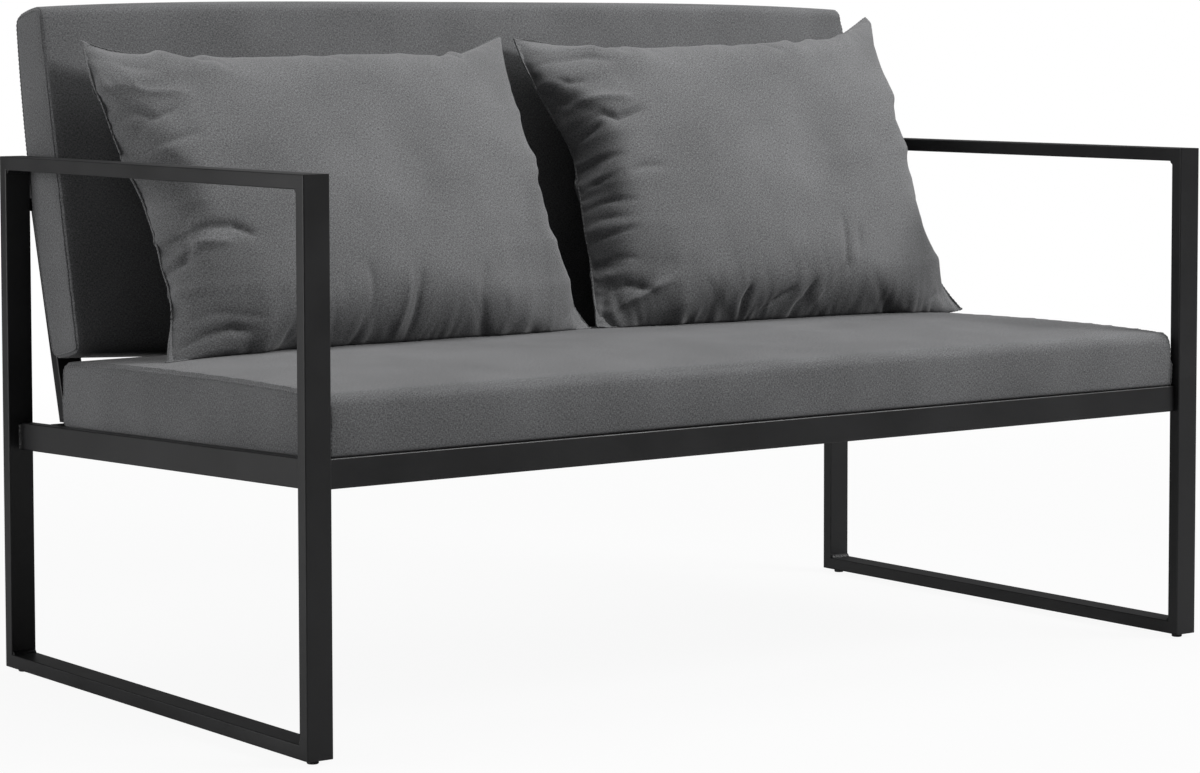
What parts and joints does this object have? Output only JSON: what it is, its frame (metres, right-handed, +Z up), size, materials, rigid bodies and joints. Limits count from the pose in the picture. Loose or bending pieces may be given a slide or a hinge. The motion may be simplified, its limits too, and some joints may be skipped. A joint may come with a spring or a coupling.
{
  "type": "metal lounge bench",
  "caption": "Lounge bench with closed loop side frames of rectangular steel tube, a slatted seat frame, a leaning back frame, box seat and back cushions and loose pillows.",
  "frame": {"origin": "bottom centre of the bench's box, on the floor under its four glides", "axes": "+X to the right along the bench as seen from the front, +Y to the back, +Z up"},
  "size_m": [1.22, 0.6679, 0.7465],
  "materials": {
    "black_frame": "satin black powder coat with a fine texture",
    "zinc_steel": "dull zinc plating",
    "glide_plastic": "matte black moulded plastic",
    "cushion_fabric": "dark grey woven polyester over foam",
    "pillow_fabric": "dark grey woven polyester over loose fibre fill"
  },
  "bodies": {
    "frame": {"back_frame_welds": "black_frame", "back_top_rail": "black_frame", "back_upright_1": "black_frame", "back_upright_2": "black_frame", "back_upright_3": "black_frame", "back_upright_4": "black_frame", "back_upright_5": "black_frame", "bracket_bolts": "zinc_steel", "bracket_washers": "zinc_steel", "foot_bolts": "zinc_steel", "foot_spacers": "zinc_steel", "foot_washers": "zinc_steel", "front_left_bracket": "black_frame", "front_left_glide": "glide_plastic", "front_right_bracket": "black_frame", "front_right_glide": "glide_plastic", "front_seat_rail": "black_frame", "left_arm_rail": "black_frame", "left_back_stay": "black_frame", "left_base_rail": "black_frame", "left_frame_welds": "black_frame", "left_front_post": "black_frame", "left_rear_post": "black_frame", "left_side_rail": "black_frame", "rear_left_bracket": "black_frame", "rear_left_glide": "glide_plastic", "rear_post_inserts": "zinc_steel", "rear_right_bracket": "black_frame", "rear_right_glide": "glide_plastic", "rear_seat_rail": "black_frame", "right_arm_rail": "black_frame", "right_back_stay": "black_frame", "right_base_rail": "black_frame", "right_frame_welds": "black_frame", "right_front_post": "black_frame", "right_rear_post": "black_frame", "right_side_rail": "black_frame", "seat_frame_welds": "black_frame", "seat_slat_1": "black_frame", "seat_slat_2": "black_frame", "seat_slat_3": "black_frame", "seat_slat_4": "black_frame", "seat_slat_5": "black_frame", "side_rail_inserts": "zinc_steel", "stay_bolts": "zinc_steel", "stay_washers": "zinc_steel", "upright_plugs": "zinc_steel"},
    "seat_cushion": {"seat_cushion": "cushion_fabric"},
    "back_cushion": {"back_cushion": "cushion_fabric"},
    "left_pillow": {"left_pillow": "pillow_fabric"},
    "right_pillow": {"right_pillow": "pillow_fabric"}
  },
  "joints": [
    {"name": "seat_cushion_lift", "type": "slide", "parent": "frame", "child": "seat_cushion", "axis": [0, 0, 1], "range_m": [0, 0.3]},
    {"name": "back_cushion_lift", "type": "slide", "parent": "seat_cushion", "child": "back_cushion", "axis": [0, 0.1994, 0.9799], "range_m": [0, 0.26]},
    {"name": "left_pillow_lift", "type": "slide", "parent": "back_cushion", "child": "left_pillow", "axis": [0, -0.7071, 0.7071], "range_m": [0, 0.32]},
    {"name": "right_pillow_lift", "type": "slide", "parent": "back_cushion", "child": "right_pillow", "axis": [0, -0.7071, 0.7071], "range_m": [0, 0.32]}
  ]
}
